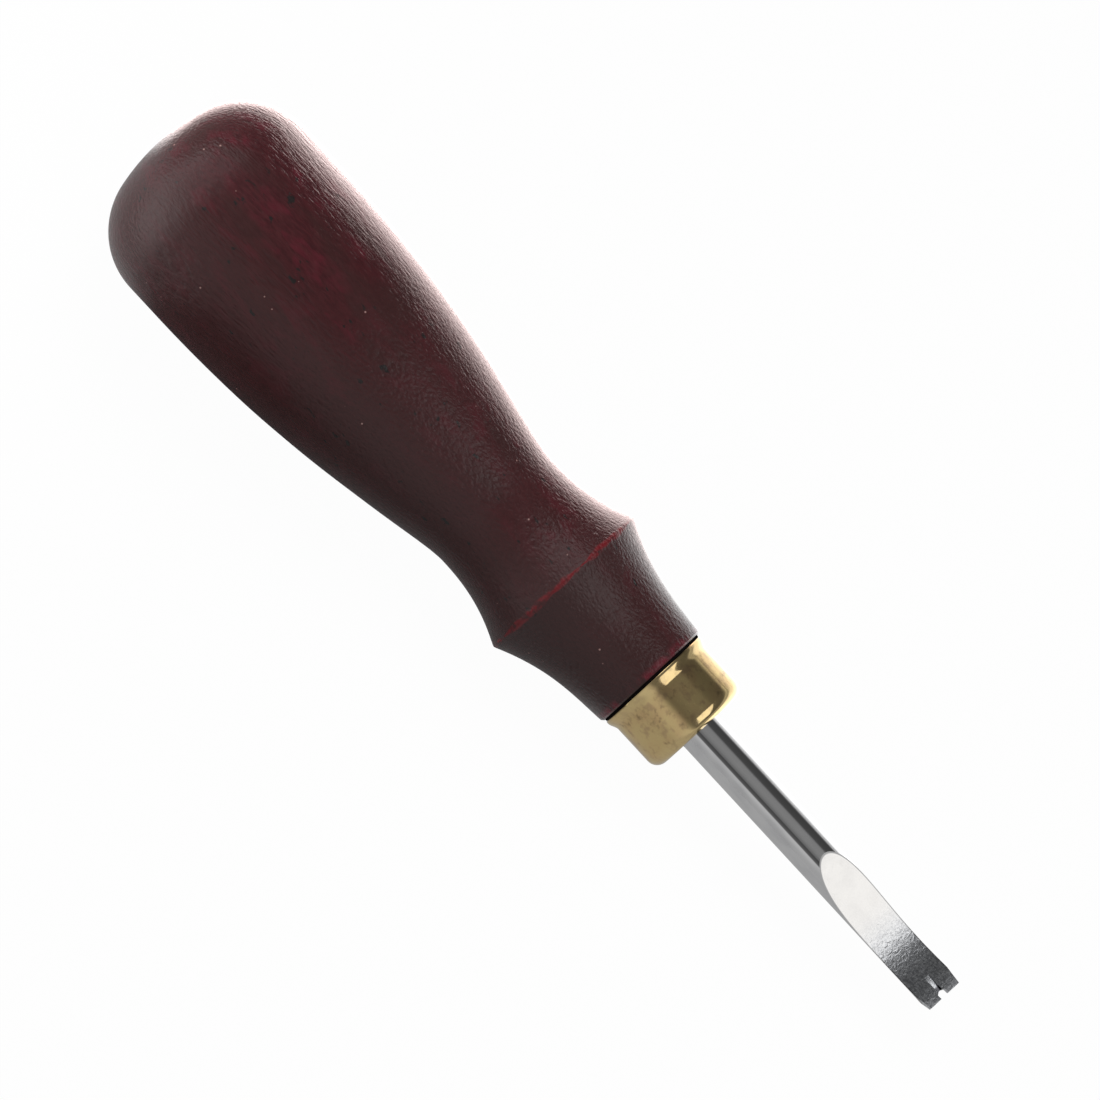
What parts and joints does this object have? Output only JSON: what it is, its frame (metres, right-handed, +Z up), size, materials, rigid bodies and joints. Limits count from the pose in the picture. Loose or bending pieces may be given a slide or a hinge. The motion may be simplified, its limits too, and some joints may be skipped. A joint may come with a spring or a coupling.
{
  "type": "leather edge beveler",
  "caption": "Leather edge beveler: turned dark red hardwood handle with a finger ridge, brass ferrule, and round steel blade hollow ground to a notched tip.",
  "frame": {"origin": "middle of the part's box in plan, on the bench that the tool lies on with its belly and ridge", "axes": "+X along the tool towards the tip, which dips 3.1 degrees; +Z up, on the side of the blade's ground face; +Y across the tool"},
  "size_m": [0.1524, 0.0312, 0.0317],
  "materials": {
    "handle_wood": "dark red stain under satin lacquer, worn to brighter red on the ridge",
    "ferrule_brass": "polished, lightly tarnished",
    "blade_steel": "polished shank with a ground face"
  },
  "bodies": {
    "root": {"handle": "handle_wood", "ferrule": "ferrule_brass", "blade": "blade_steel"}
  },
  "joints": []
}
